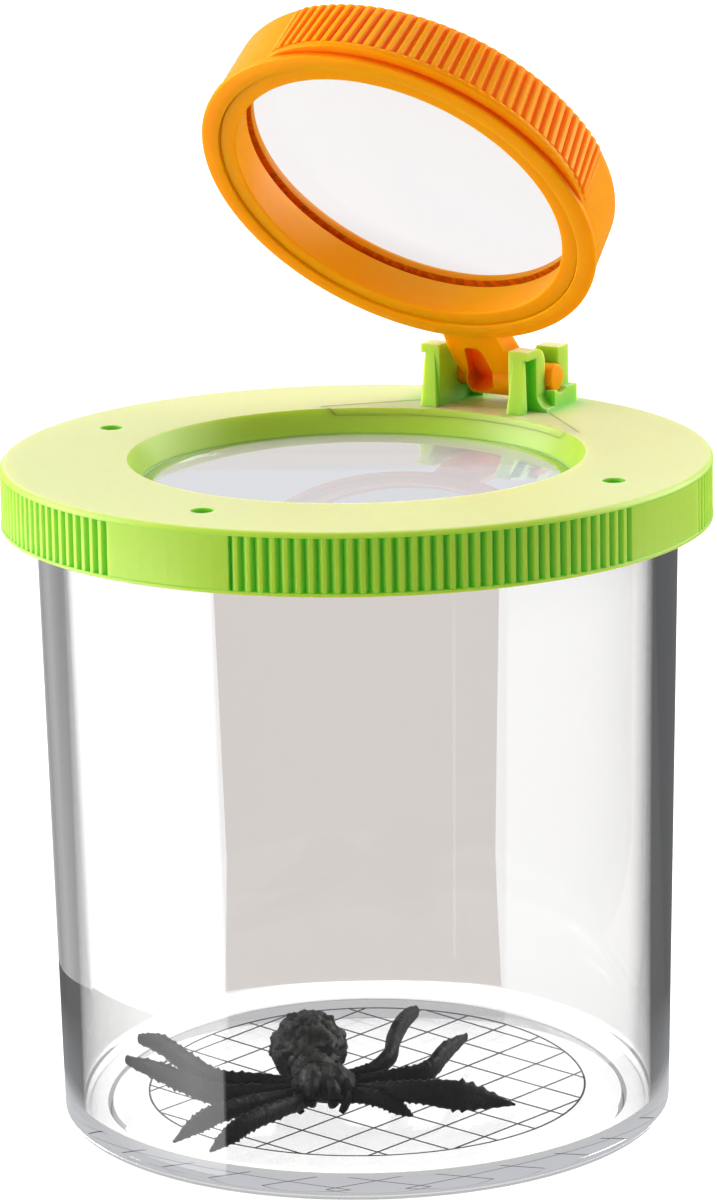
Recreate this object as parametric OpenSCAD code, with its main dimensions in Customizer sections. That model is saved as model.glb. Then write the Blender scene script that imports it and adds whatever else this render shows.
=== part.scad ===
// Bug catcher jar: a clear beaker, a press-on lid with a lens in it, and a second
// lens in a ring that flips up on a snap hinge. A toy spider lies on the grid.
// Millimetres. The origin is the centre of the underside, +Z is up, the hinge is
// towards +Y, and the flip lens stands half open.

/* [Beaker] */
// Outer diameter at the rim
beaker_rim_d = 63.8; // [60:0.2:72]
// Outer diameter at the foot, a little less so that it leaves its mould
beaker_base_d = 61.2; // [58:0.2:68]
// Height to the rim
beaker_h = 65.2; // [40:0.5:110]
// Thickness of the side wall
beaker_wall = 1.6; // [1:0.1:2.4]
// Thickness of the floor
beaker_floor = 2.2; // [1.4:0.1:4]
// Rounding of the outer bottom edge
base_edge_r = 1.5; // [0.5:0.1:2]
// Rounding between floor and wall inside
floor_edge_r = 1.2; // [0.4:0.1:2]
// Width of the ring that the beaker stands on
foot_w = 4.6; // [2:0.1:8]
// Depth of the hollow inside that ring
foot_recess = 0.5; // [0.2:0.1:1]

/* [Measuring grid] */
// Diameter of the printed circle
grid_d = 44.6; // [30:0.2:50]
// Side of one square
grid_pitch = 5; // [2.5:0.5:10]
// Width of a printed line
grid_line = 0.28; // [0.15:0.01:0.6]
// Thickness of the ink
grid_ink = 0.08; // [0.05:0.01:0.2]
// Turn of the grid from the hinge's plane, in degrees
grid_turn = -12; // [-45:1:45]

/* [Lid] */
// Thickness of the top plate
lid_plate = 2.1; // [1.4:0.1:3]
// Height of the skirt, from the top face down
skirt_h = 6.2; // [5:0.1:10]
// Reach of the lid past the beaker's rim
skirt_reach = 3.3; // [2:0.1:5]
// Thickness of the skirt
skirt_wall = 1.8; // [1.4:0.1:2.2]
// Radial clearance between lid and rim
lid_fit = 0.1; // [0.05:0.01:0.3]
// Clearance between the plate and the rim's top
seat_gap = 0.2; // [0.05:0.05:0.5]
// Rounding of the top edge
lid_edge_r = 0.6; // [0.3:0.1:1.2]
// Plain band under the ribs
skirt_band = 0.3; // [0.2:0.05:1]
// Number of ribbed sectors
grip_sectors = 4; // [2:1:6]
// Angle of one ribbed sector
grip_angle = 69; // [30:1:80]
// Number of ribs in a sector
grip_ribs = 35; // [10:1:40]
// Depth of the grooves between ribs
grip_depth = 0.6; // [0.2:0.05:0.7]
// Number of inner ribs that grip the rim
clamp_ribs = 24; // [6:1:36]
// Width of an inner rib
clamp_rib_w = 1.2; // [0.6:0.1:2]
// Diameter of a vent hole
vent_d = 2.3; // [1:0.1:3]
// Distance from the beaker's inner wall to a vent's centre
vent_inset = 1.5; // [1.2:0.1:4]

/* [Lid lens] */
// Diameter of the lens with its flange
lid_lens_d = 42.8; // [30:0.2:44]
// Thickness of the flange
lid_lens_edge = 1.3; // [0.8:0.1:2]
// Height of each dome
lid_lens_rise = 2; // [1:0.1:2.2]
// Depth of the well above the flange
well_depth = 2.35; // [2.2:0.05:3]
// Widening of the well towards its mouth
well_flare = 1.2; // [0.4:0.1:2]
// Radial clearance around a lens flange
lens_fit = 0.1; // [0.02:0.01:0.2]
// Width of the ledge under the flange
ledge_w = 1.4; // [0.8:0.1:2]
// Thickness of the ledge
ledge_t = 1.2; // [0.8:0.1:2]
// Thickness of the collar around the well
collar_wall = 1.5; // [1:0.1:2]

/* [Hinge] */
// Diameter of the trunnions
pin_d = 2.9; // [2:0.1:3.2]
// Radial running clearance of a trunnion in its cradle
pin_fit = 0.08; // [0.03:0.01:0.1]
// Height of the hinge line over the lid
pin_h = 2.96; // [2.6:0.02:4]
// Distance of the hinge line behind the well's mouth
pin_setback = 6.5; // [6:0.1:9]
// Reach of the trunnions to each side
pin_reach = 6.9; // [5.6:0.05:7.2]
// Free width between the front posts
post_gap = 8.1; // [7.6:0.1:9]
// Width of a front post
post_w = 2.2; // [1.6:0.05:2.6]
// Thickness of the post's web, before its full width begins
post_web = 1.15; // [0.8:0.05:1.6]
// Depth of a front post, from its front to the cradle
post_depth = 3.7; // [2.9:0.1:4.4]
// Depth of its part that has the full width
post_back = 1.8; // [1.2:0.1:2.2]
// Height of the posts over the lid
post_h = 6.4; // [5.5:0.1:7.5]
// Thickness of the wall behind the cradle
back_wall = 1.4; // [0.8:0.05:1.8]
// Height of that wall over the lid
back_h = 6; // [5.4:0.1:7]
// Reach of that wall to each side
back_reach = 6.6; // [5.6:0.1:7]
// Free width between the back walls
back_gap = 5.5; // [5.4:0.1:6.4]
// Overall width of the hinge base
base_w = 14.8; // [14:0.1:18]
// Height of the hinge base
base_h = 1.9; // [1:0.1:2.4]
// Depth of the hollow in the lid before the posts
apron_depth = 0.7; // [0.3:0.1:1]

/* [Flip lens] */
// How far the ring stands open, in degrees
open_angle = 50; // [0:1:95]
// Gap between the closed ring and the lid
rest_gap = 0.68; // [0.4:0.02:1.4]
// Reach of the flange on the underside past the ring
flange_reach = 0.25; // [0.1:0.05:1]
// Thickness of that flange
flange_t = 0.75; // [0.5:0.05:1.2]
// Height of the ring
ring_h = 7.7; // [6.6:0.1:9]
// Thickness of the ring's wall at its top
ring_wall = 1.35; // [0.6:0.05:1.6]
// Thickening of that wall towards its foot
ring_taper = 0.3; // [0.2:0.05:1]
// Reach of the thumb grip past the ring
thumb_reach = 1.35; // [0.6:0.05:2]
// Angle that the thumb grip covers
thumb_angle = 110; // [60:1:140]
// Turn of the thumb grip from the ring's free end
thumb_turn = 34; // [-60:1:60]
// Height of the smooth band under its ribs
thumb_band = 0.6; // [0.2:0.05:1.2]
// Number of ribs on the thumb grip
thumb_ribs = 36; // [12:1:48]
// Depth of those ribs
thumb_depth = 0.4; // [0.2:0.05:0.6]
// Diameter of the lens with its flange
flip_lens_d = 38.1; // [30:0.1:39]
// Thickness of its flange
flip_lens_edge = 1.2; // [0.8:0.1:2]
// Height of each dome
flip_lens_rise = 1.9; // [1:0.1:2]
// Height of the lens flange over the ring's underside
flip_lens_z = 4.3; // [3.6:0.1:4.6]
// Width of the lip over the flange
lip_w = 1.35; // [0.8:0.05:2]
// Width of the retaining ring's face
retainer_w = 1.65; // [1:0.05:2.4]
// Widening of that opening towards the lens
retainer_flare = 0.5; // [0:0.1:1]
// Depth of the retaining ring's face in the underside
retainer_sink = 0.3; // [0.1:0.05:0.6]
// Width of the arm
arm_w = 7; // [6:0.1:7.5]
// Depth of the arm under the hinge line
arm_below = 1.5; // [1:0.1:1.8]
// Height of the arm over the hinge line
arm_above = 0.72; // [0.4:0.02:0.9]
// Diameter of the knuckle between the cradles
knuckle_d = 4.6; // [3.6:0.1:4.8]
// Width of the knuckle
knuckle_w = 5.2; // [4:0.1:5.3]
// Depth of the arm's pocket
pocket_depth = 1.3; // [0.6:0.1:1.6]

/* [Toy spider] */
// Reach of the longest leg from the middle of the body
spider_reach = 20; // [12:0.5:20]
// Width of a leg
spider_leg_w = 1.9; // [1:0.1:2.4]
// Turn of the figure, in degrees
spider_turn = 30; // [0:1:360]
// Place of the figure across the way that it looks
spider_across = -4.4; // [-6:0.1:6]
// Place of the figure along the way that it looks
spider_along = -8.8; // [-10:0.1:4]
// Clearance between the figure and the grid
spider_gap = 0.1; // [0.05:0.05:0.5]

/* [Hidden] */
$fn = 96;

// How far a cut runs past the face that it opens, and a joined part into its wall
overrun = 0.5;
weld = 0.2;
arc_steps = 8;
dome_steps = 16;
seam_step = 0.06;

beaker_rim_r = beaker_rim_d / 2;
beaker_base_r = beaker_base_d / 2;
beaker_inner_r = beaker_rim_r - beaker_wall;

plate_z = beaker_h + seat_gap;
lid_top = plate_z + lid_plate;
skirt_z = lid_top - skirt_h;
lid_r = beaker_rim_r + lid_fit + skirt_reach;
clamp_r = beaker_rim_r + lid_fit;
skirt_inner_r = lid_r - skirt_wall;
vent_circle_r = beaker_inner_r - vent_inset;

lid_lens_r = lid_lens_d / 2;
seat_r = lid_lens_r + lens_fit;
mouth_r = seat_r + well_flare;
collar_r = seat_r + collar_wall;
ledge_r = lid_lens_r - ledge_w;
lid_lens_z = lid_top - well_depth - lid_lens_edge;

pin_r = pin_d / 2;
cradle_r = pin_r + pin_fit;
pin_y = mouth_r + pin_setback;
pin_z = lid_top + pin_h;
throat_share = 0.45;
post_round = 1.5;
post_cap = 0.9;
post_rib_t = 0.45;
post_rib_foot = 0.8;
post_rib_share = 0.86;
post_rib_top_share = 0.25;
post_rib_end_share = 0.77;
flare_foot = 0.3;
flare_h = 2.4;
back_round = 2;
base_step = 0.3;
apron_flare = 7.4;
apron_slope = 0.5;

ring_z = lid_top + rest_gap;
flip_lens_r = flip_lens_d / 2;
bore_r = flip_lens_r + lens_fit;
ring_top_r = bore_r + ring_wall;
ring_foot_r = ring_top_r + ring_taper;
flange_r = ring_foot_r + flange_reach;
flange_edge = 0.25;
ring_edge = 0.45;
lip_r = flip_lens_r - lip_w;
lip_z = flip_lens_z + flip_lens_edge;
lip_chamfer = 1.1;
retainer_r = flip_lens_r - retainer_w;
arm_neck = 3.4;
arm_root_share = 0.43;
smooth_step = 4;

// Outline of the arm's pocket: shares of the arm's width, and of the way from the
// hinge line to the ring's flange
pocket_shares = [[-0.19, -0.67], [0, -0.68], [0.055, -0.63], [0.08, -0.55], [0.08, -0.06],
                 [0.06, -0.02], [-0.09, 0.05], [-0.26, 0.08], [-0.32, 0.05],
                 [-0.35, -0.02], [-0.35, -0.13], [-0.28, -0.37], [-0.22, -0.62]];

// Shares of one rib's pitch: the groove and both edges of the ridge
rib_shares = [0.05, 0.4, 0.75];

function polar(r, a) = [r * cos(a), r * sin(a)];
function arc(cx, cy, r, a0, a1) =
    [for (i = [0:arc_steps]) [cx, cy] + polar(r, a0 + (a1 - a0) * i / arc_steps)];

module tube(r_out, r_in, h) {
    difference() {
        cylinder(r = r_out, h = h);
        translate([0, 0, -overrun]) cylinder(r = r_in, h = h + 2 * overrun);
    }
}

// Half section of a dome, from its foot to its crown
function dome(r, rise) = let (ball_r = (r * r + rise * rise) / (2 * rise),
                              foot = asin((ball_r - rise) / ball_r)) [
    for (i = [0:dome_steps]) [0, rise - ball_r]
        + polar(ball_r, foot + (90 - foot) * i / dome_steps)];

// Lens with a flat flange and a dome on both faces
module lens(edge_r, edge, top_r, bottom_r, rise) {
    upper = dome(top_r, rise);
    lower = dome(bottom_r, rise);
    rotate_extrude()
    polygon(concat(
        [for (i = [dome_steps:-1:0]) [lower[i].x, -lower[i].y]],
        [[edge_r, 0], [edge_r, edge]],
        [for (p = upper) [p.x, p.y + edge]]));
}

module beaker() {
    base_inner_r = beaker_base_r - beaker_wall;
    recess_r = beaker_base_r - foot_w;
    color([0.9, 0.94, 0.96, 0.35])
    rotate_extrude()
    polygon(concat(
        [[0, foot_recess], [recess_r, foot_recess], [recess_r + foot_recess, 0]],
        arc(beaker_base_r - base_edge_r, base_edge_r, base_edge_r, -90, 0),
        [[beaker_rim_r, beaker_h], [beaker_inner_r, beaker_h]],
        arc(base_inner_r - floor_edge_r, beaker_floor + floor_edge_r, floor_edge_r, 0, -90),
        [[0, beaker_floor]]));
}

// Circle and squares printed on the floor
module measuring_grid() {
    grid_r = grid_d / 2;
    lines = floor(grid_r / grid_pitch);
    color([0.2, 0.2, 0.22])
    translate([0, 0, beaker_floor]) rotate(grid_turn)
    linear_extrude(grid_ink) {
        difference() {
            circle(grid_r);
            circle(grid_r - grid_line);
        }
        intersection() {
            circle(grid_r - grid_line / 2);
            for (turn = [0, 90]) rotate(turn)
                for (i = [-lines:lines])
                    translate([i * grid_pitch - grid_line / 2, -grid_r])
                        square([grid_line, grid_d]);
        }
    }
}

// Points of one ribbed sector, between a groove radius and a ridge radius
function ribs(count, start, angle, groove_r, ridge_r) = [
    for (k = [0:count - 1]) for (i = [0:2])
        polar(i == 0 ? groove_r : ridge_r, start + angle * (k + rib_shares[i]) / count)];

// Outline of the skirt: ribbed sectors with plain lands between them
module skirt_outline() {
    ridge_r = lid_r - grip_depth / 8;
    groove_r = lid_r - grip_depth;
    turn = 360 / grip_sectors;
    land = turn - grip_angle;
    polygon([for (s = [0:grip_sectors - 1]) each concat(
        [for (i = [0:arc_steps]) polar(ridge_r, s * turn - land / 2 + land * i / arc_steps)],
        ribs(grip_ribs, s * turn + land / 2, grip_angle, groove_r, ridge_r))]);
}

module lid_body() {
    edge_r = min(lid_edge_r, skirt_wall);
    rib_top = lid_top - edge_r;
    core_r = lid_r - skirt_wall / 2;
    // Top plate with its rounded edge
    rotate_extrude()
    polygon(concat(
        [[0, plate_z], [core_r, plate_z], [core_r, rib_top], [lid_r, rib_top]],
        arc(lid_r - edge_r, rib_top, edge_r, 0, 90),
        [[0, lid_top]]));
    // Skirt: ribbed outside up to the rounded edge, with a plain band at its foot
    difference() {
        union() {
            translate([0, 0, skirt_z]) cylinder(r = lid_r, h = skirt_band);
            translate([0, 0, skirt_z + skirt_band / 2])
                linear_extrude(rib_top + seam_step - skirt_z - skirt_band / 2)
                skirt_outline();
        }
        translate([0, 0, skirt_z - overrun])
            cylinder(r = skirt_inner_r, h = skirt_h + overrun);
    }
    // Collar around the lens well
    translate([0, 0, lid_lens_z - ledge_t])
        cylinder(r = collar_r, h = plate_z + weld - lid_lens_z + ledge_t);
}

// Upright ribs inside the skirt, which grip the beaker's rim
module clamps() {
    translate([0, 0, skirt_z + skirt_band])
    linear_extrude(plate_z + weld - skirt_z - skirt_band)
    intersection() {
        difference() {
            circle(skirt_inner_r + weld);
            circle(clamp_r);
        }
        for (i = [0:clamp_ribs - 1]) rotate(i * 360 / clamp_ribs)
            translate([0, -clamp_rib_w / 2]) square([lid_r, clamp_rib_w]);
    }
}

// Well with a flared wall, a seat for the lens and a way through
module well_cut() {
    seat_top = lid_lens_z + lid_lens_edge;
    flare_over = well_flare * overrun / well_depth;
    translate([0, 0, seat_top])
        cylinder(r1 = seat_r, r2 = mouth_r + flare_over, h = well_depth + overrun);
    translate([0, 0, lid_lens_z]) cylinder(r = seat_r, h = lid_lens_edge + weld);
    translate([0, 0, lid_lens_z - ledge_t - overrun])
        cylinder(r = ledge_r, h = ledge_t + 2 * overrun);
}

// Shallow hollow between the posts and the well, with sloping sides
module apron_cut() {
    half = base_w / 2;
    back_y = pin_y - cradle_r - post_back;
    hull() {
        for (level = [[0, -apron_depth], [apron_slope, weld]])
            translate([0, 0, lid_top + level[1]]) linear_extrude(weld)
                polygon([[-half - level[0], back_y], [half + level[0], back_y],
                         [half + apron_flare + level[0], back_y - apron_flare],
                         [0, seat_r * cos(45)],
                         [-half - apron_flare - level[0], back_y - apron_flare]]);
    }
}

// Side view of one bearing: front post, cradle and back wall, from the hinge line
module bearing_side() {
    throat = cradle_r * throat_share;
    difference() {
        union() {
            translate([-cradle_r - post_depth, -pin_h - apron_depth - weld])
                square([post_depth + weld, post_h + apron_depth + weld - post_round]);
            translate([-cradle_r - post_depth, 0])
                square([post_depth - post_round, post_h - pin_h]);
            translate([-cradle_r - post_round, post_h - pin_h - post_round])
                circle(post_round, $fn = 32);
            translate([-cradle_r - post_depth / 2, -pin_h - weld])
                square([post_depth / 2 + 2 * cradle_r + back_wall, base_h + weld]);
            translate([throat, -pin_h - weld])
                square([cradle_r - throat + back_wall, back_h + weld]);
        }
        circle(cradle_r);
        translate([-cradle_r, 0]) square([cradle_r + throat, post_h]);
    }
}

// Front view of a back wall, whose inner top corner is rounded
module back_front() {
    top = back_h - pin_h;
    polygon(concat(
        [[back_gap / 2, -pin_h - weld], [back_reach, -pin_h - weld], [back_reach, top]],
        arc(back_gap / 2 + back_round, top - back_round, back_round, 90, 180)));
}

// One side of the hinge, on the side of +X
module bearing() {
    inner = post_gap / 2;
    outer = base_w / 2;
    front_y = -cradle_r - post_depth;
    back_y = cradle_r + back_wall;
    foot_z = -pin_h - apron_depth - weld;
    rib_z = post_h - pin_h - post_cap;
    translate([0, pin_y, pin_z]) {
        // Web of the post, with the cradle
        translate([inner, 0, 0]) rotate([90, 0, 90]) linear_extrude(post_web) bearing_side();
        // Part of the post that has the full width, and the cap over the web
        translate([inner, 0, 0]) rotate([90, 0, 90]) linear_extrude(post_w)
            intersection() {
                bearing_side();
                union() {
                    translate([-cradle_r - post_back, -pin_h - weld])
                        square([post_back + cradle_r, post_h + 2 * weld]);
                    translate([front_y, rib_z]) square([post_depth, post_cap + weld]);
                }
            }
        // Rib up the front of the web, which leans and narrows towards the cap
        intersection() {
            translate([0, front_y + post_rib_t, 0]) rotate([90, 0, 0])
                linear_extrude(post_rib_t + post_rib_foot + overrun)
                polygon([[inner, foot_z], [inner + post_w * post_rib_share, foot_z],
                         [inner + post_w * post_rib_end_share, rib_z + weld],
                         [inner + post_w * post_rib_top_share, rib_z + weld]]);
            translate([inner, front_y, 0]) rotate([90, 0, 90]) linear_extrude(post_w)
                polygon([[post_rib_t + weld, foot_z], [-post_rib_foot, foot_z],
                         [0, rib_z], [post_rib_t + weld, rib_z + weld]]);
        }
        // Back wall, with a hook over the trunnion outside the arm's way
        intersection() {
            union() {
                translate([inner, 0, 0]) rotate([90, 0, 90])
                    linear_extrude(back_reach - inner) intersection() {
                        bearing_side();
                        translate([0, -pin_h - weld]) square([back_y, back_h + weld]);
                    }
                translate([back_gap / 2, cradle_r, -pin_h - weld])
                    cube([inner + weld - back_gap / 2, back_wall, back_h + weld]);
            }
            translate([0, back_y, 0]) rotate([90, 0, 0]) linear_extrude(back_y) back_front();
        }
        // Base beside the post and under the trunnion
        difference() {
            translate([inner, -cradle_r, -pin_h - weld])
                cube([outer - inner, cradle_r + back_y + base_step, base_h + weld]);
            rotate([0, 90, 0]) cylinder(r = cradle_r, h = outer + overrun);
        }
        // Hollow flare from the post's side down to the base's width
        translate([inner + post_w - weld, -cradle_r, 0]) rotate([90, 0, 0])
            linear_extrude(post_back)
            post_flare(outer - inner - post_w + weld, flare_h);
    }
}

// Hollow-sided flare from the base's width up to the post
module post_flare(width, height) {
    foot = flare_foot - pin_h;
    polygon(concat(
        [[0, -pin_h - weld], [width, -pin_h - weld], [width, foot]],
        [for (i = [1:arc_steps]) [width * (1 - sin(90 * i / arc_steps)),
                                  foot + height * (1 - cos(90 * i / arc_steps))]]));
}

module vents() {
    for (turn = [180, 270, 360]) rotate(turn)
        translate([vent_circle_r, 0, plate_z - overrun])
            cylinder(d = vent_d, h = lid_plate + 2 * overrun);
}

module lid() {
    color([0.72, 0.86, 0.33]) {
        difference() {
            lid_body();
            well_cut();
            apron_cut();
            vents();
        }
        clamps();
        for (side = [0, 1]) mirror([side, 0, 0]) bearing();
    }
}

module lid_lens() {
    color([0.92, 0.95, 0.97, 0.35])
    translate([0, 0, lid_lens_z])
        lens(lid_lens_r, lid_lens_edge, lid_lens_r - ledge_w / 2, ledge_r - lens_fit,
             lid_lens_rise);
}

// Turns the closed flip lens about the hinge line to where it stands open
module opened() {
    translate([0, pin_y, pin_z]) rotate([-open_angle, 0, 0])
        translate([0, -pin_y, -pin_z]) children();
}

// Reach of the thumb grip at an angle from its middle: full, with rounded ends
function thumb_share(a) = let (s = abs(a) / (thumb_angle / 2)) s >= 1 ? 0 : 1 - pow(s, 4);

// Angles around the ring: three to a rib, wider steps where the ring is smooth
function ring_angles() = let (start = 270 + thumb_turn - thumb_angle / 2,
                              rest = 360 - thumb_angle,
                              steps = floor(rest / smooth_step)) concat(
    [for (k = [0:thumb_ribs - 1]) for (i = [0:2])
        [start + thumb_angle * (k + rib_shares[i]) / thumb_ribs, i == 0 ? 0 : 1]],
    [for (i = [0:steps - 1]) [start + thumb_angle + rest * i / steps, 0]]);

// Outline of the ring at one height: its radius, how much of the thumb grip it has
// and how much of the ribs' depth
function ring_level(z, r, reach, rib) = [
    for (p = ring_angles())
        let (a = p[0] - 270 - thumb_turn, q = thumb_share(a))
        concat(polar(r + reach * q + (q > 0 ? rib * p[1] * min(1, 3 * q) : 0), p[0]), z)];

// Solid through a stack of outlines that have the same number of points
module loft(levels) {
    n = len(levels[0]);
    last = len(levels) - 1;
    polyhedron(
        points = [for (l = levels) each l],
        faces = concat(
            [[for (i = [0:n - 1]) i]],
            [for (l = [0:last - 1]) for (i = [0:n - 1]) each [
                [l * n + i, (l + 1) * n + i, (l + 1) * n + (i + 1) % n],
                [l * n + i, (l + 1) * n + (i + 1) % n, l * n + (i + 1) % n]]],
            [[for (i = [n - 1:-1:0]) last * n + i]]));
}

// Outer form of the ring: flange, and a thumb grip that fades out towards the top
module ring_outside() {
    rib_top = ring_h - 2 * ring_edge;
    band_z = flange_t + thumb_band;
    loft([
        ring_level(0, flange_r - flange_edge, 0, 0),
        ring_level(flange_edge, flange_r, 0, 0),
        ring_level(flange_t, flange_r, 0, 0),
        ring_level(flange_t + seam_step, ring_foot_r, thumb_reach, 0),
        ring_level(band_z, ring_foot_r, thumb_reach, 0),
        ring_level(band_z + seam_step, ring_foot_r, thumb_reach - thumb_depth,
                   thumb_depth),
        ring_level(rib_top, ring_top_r, 0, thumb_depth),
        ring_level(ring_h - ring_edge, ring_top_r - ring_edge / 6, 0, 0),
        ring_level(ring_h, ring_top_r - ring_edge, 0, 0)]);
}

// Arm from the ring to the knuckle between the cradles, with both trunnions
module arm() {
    wide_y = pin_y - arm_neck;
    root_y = (bore_r + ring_foot_r) / 2;
    arm_z = pin_h - rest_gap - arm_below;
    arm_t = arm_below + arm_above;
    translate([0, 0, arm_z]) difference() {
        linear_extrude(arm_t)
            polygon([[-arm_w * arm_root_share, root_y], [arm_w * arm_root_share, root_y],
                     [arm_w / 2, wide_y], [knuckle_w / 2, pin_y],
                     [-knuckle_w / 2, pin_y], [-arm_w / 2, wide_y]]);
        translate([0, pin_y, -overrun]) linear_extrude(pocket_depth + overrun) pocket();
    }
    translate([0, pin_y, pin_h - rest_gap]) rotate([0, 90, 0]) {
        difference() {
            cylinder(d = knuckle_d, h = knuckle_w, center = true);
            rotate([0, -90, 0]) translate([0, 0, -arm_below - overrun - knuckle_d / 2])
                linear_extrude(pocket_depth + overrun + knuckle_d / 2) pocket();
        }
        cylinder(r = pin_r, h = 2 * pin_reach, center = true);
    }
}

// Outline of the pocket in the arm's underside, from the hinge line
module pocket() {
    polygon([for (p = pocket_shares) [p[0] * arm_w, p[1] * (pin_y - flange_r)]]);
}

// Ring with its arm, in the frame of its own underside
module frame_closed() {
    difference() {
        ring_outside();
        translate([0, 0, -overrun]) cylinder(r = bore_r, h = lip_z + overrun);
        translate([0, 0, lip_z - weld]) cylinder(r = lip_r, h = ring_h);
        translate([0, 0, ring_h - lip_chamfer])
            cylinder(r1 = lip_r, r2 = lip_r + lip_chamfer + overrun, h = lip_chamfer + overrun);
    }
    arm();
}

module magnifier_frame() {
    color([0.95, 0.6, 0.07]) opened() translate([0, 0, ring_z]) frame_closed();
}

// Ring pressed in from below, which holds the lens against the lip
module retaining_ring() {
    height = flip_lens_z - retainer_sink;
    color([0.95, 0.58, 0.07])
    opened() translate([0, 0, ring_z + retainer_sink]) difference() {
        cylinder(r = bore_r - lens_fit / 2, h = height);
        translate([0, 0, -overrun]) cylinder(r = retainer_r, h = overrun + weld);
        cylinder(r1 = retainer_r, r2 = retainer_r + retainer_flare, h = height + weld);
        translate([0, 0, height]) cylinder(r = retainer_r + retainer_flare, h = overrun);
    }
}

module magnifier_lens() {
    color([0.92, 0.95, 0.97, 0.35])
    opened() translate([0, 0, ring_z + flip_lens_z])
        lens(flip_lens_r, flip_lens_edge, lip_r - lens_fit,
             retainer_r + retainer_flare - lens_fit, flip_lens_rise);
}

// Toy spider, which looks towards -Y before it is turned
leg_fn = 8;
body_fn = 20;
// Each leg from its root to its tip, and the width at each point but the tip
leg_shares = [
    [[-0.1, -0.02, 0.13], [-0.52, 0.005, 0.155], [-0.685, 0.15, 0.205],
     [-0.815, 0.335, 0.23], [-0.96, 0.655, 0.155]],
    [[-0.1, -0.04, 0.11], [-0.515, -0.125, 0.13], [-0.665, -0.035, 0.155],
     [-0.82, 0.09, 0.18], [-1.005, 0.41, 0.13]],
    [[-0.09, -0.09, 0.11], [-0.485, -0.4, 0.14], [-0.595, -0.42, 0.09],
     [-0.71, -0.485, 0.01]],
    [[-0.07, -0.12, 0.11], [-0.345, -0.545, 0.14], [-0.435, -0.59, 0.09],
     [-0.53, -0.635, 0.01]],
    [[0.09, 0.06, 0.13], [0.33, 0.145, 0.18], [0.36, 0.425, 0.205],
     [0.405, 0.685, 0.205], [0.475, 1.065, 0.13]],
    [[0.1, 0.03, 0.11], [0.52, 0.09, 0.155], [0.62, 0.325, 0.18],
     [0.735, 0.84, 0.08]],
    [[0.1, -0.06, 0.11], [0.47, -0.195, 0.15], [0.695, -0.15, 0.1],
     [0.96, -0.005, 0.01]],
    [[0.08, -0.1, 0.1], [0.42, -0.27, 0.09], [0.6, -0.27, 0.06],
     [0.73, -0.2, 0.01]]];
width_shares = [0.85, 1.1, 1.05, 0.8];
tip_share = 0.2;
// Parts of the body: centre and half axes
body_shares = [
    [[0, 0, 0.135], [0.15, 0.17, 0.105]],
    [[0.01, -0.1, 0.155], [0.105, 0.1, 0.09]],
    [[-0.03, 0.13, 0.19], [0.08, 0.09, 0.07]],
    [[-0.07, 0.29, 0.225], [0.2, 0.225, 0.17]],
    [[-0.045, -0.15, 0.11], [0.045, 0.05, 0.075]],
    [[0.06, -0.16, 0.11], [0.045, 0.05, 0.075]]];

// Width of a leg at point j of n
function leg_r(j, n) = spider_leg_w / 2 * (j == n - 1 ? tip_share : width_shares[j]);

module leg(shares) {
    n = len(shares);
    for (i = [0:n - 2]) hull() {
        for (j = [i, i + 1])
            translate(shares[j] * spider_reach
                      + [0, 0, max(0, leg_r(j, n) - shares[j].z * spider_reach)])
                sphere(leg_r(j, n), $fn = leg_fn);
    }
}

module toy_spider() {
    color([0.12, 0.12, 0.13])
    translate([0, 0, beaker_floor + grid_ink + spider_gap])
    rotate(spider_turn) translate([spider_across, spider_along]) {
        for (shares = leg_shares) leg(shares);
        for (part = body_shares)
            translate(part[0] * spider_reach) scale(part[1] * spider_reach)
                sphere(1, $fn = body_fn);
    }
}

beaker();
measuring_grid();
lid();
lid_lens();
magnifier_frame();
retaining_ring();
magnifier_lens();
toy_spider();
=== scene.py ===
import math
import random

import bpy
from mathutils import Matrix, Vector, noise


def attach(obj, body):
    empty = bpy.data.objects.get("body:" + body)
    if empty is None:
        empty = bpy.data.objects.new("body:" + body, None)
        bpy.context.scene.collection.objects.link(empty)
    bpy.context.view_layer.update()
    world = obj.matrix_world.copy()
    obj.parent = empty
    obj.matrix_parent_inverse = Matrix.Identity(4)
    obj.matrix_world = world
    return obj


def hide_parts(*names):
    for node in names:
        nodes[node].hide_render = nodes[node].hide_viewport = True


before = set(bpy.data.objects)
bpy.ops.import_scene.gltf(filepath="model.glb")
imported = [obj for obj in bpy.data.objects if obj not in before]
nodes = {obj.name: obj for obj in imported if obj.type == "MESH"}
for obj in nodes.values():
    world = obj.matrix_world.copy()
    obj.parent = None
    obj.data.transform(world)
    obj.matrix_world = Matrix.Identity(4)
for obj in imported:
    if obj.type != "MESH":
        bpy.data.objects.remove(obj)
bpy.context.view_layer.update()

MM = 0.001
WHITE = (1, 1, 1, 1)
scene = bpy.context.scene


def srgb(r, g, b):
    """Shader colour out of one that is written as it looks on screen"""
    def linear(c):
        c /= 255
        return c / 12.92 if c <= 0.04045 else ((c + 0.055) / 1.055) ** 2.4
    return (linear(r), linear(g), linear(b), 1.0)


# Shader helpers

def put(nt, slot, value):
    """Sets an input to a value, or links an output to it"""
    if isinstance(value, bpy.types.NodeSocket):
        nt.links.new(value, slot)
    else:
        slot.default_value = value


def calc(nt, operation, *values):
    """Result of a sum; each value is a number or an output"""
    node = nt.nodes.new("ShaderNodeMath")
    node.operation = operation
    for slot, value in zip(node.inputs, values):
        put(nt, slot, value)
    return node.outputs[0]


def map_range(nt, fac, lo, hi, a, b):
    """a where fac is at or below lo, b at or above hi, and a straight line between"""
    node = nt.nodes.new("ShaderNodeMapRange")
    node.inputs["From Min"].default_value = lo
    node.inputs["From Max"].default_value = hi
    node.inputs["To Min"].default_value = a
    node.inputs["To Max"].default_value = b
    nt.links.new(fac, node.inputs["Value"])
    return node.outputs["Result"]


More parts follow.
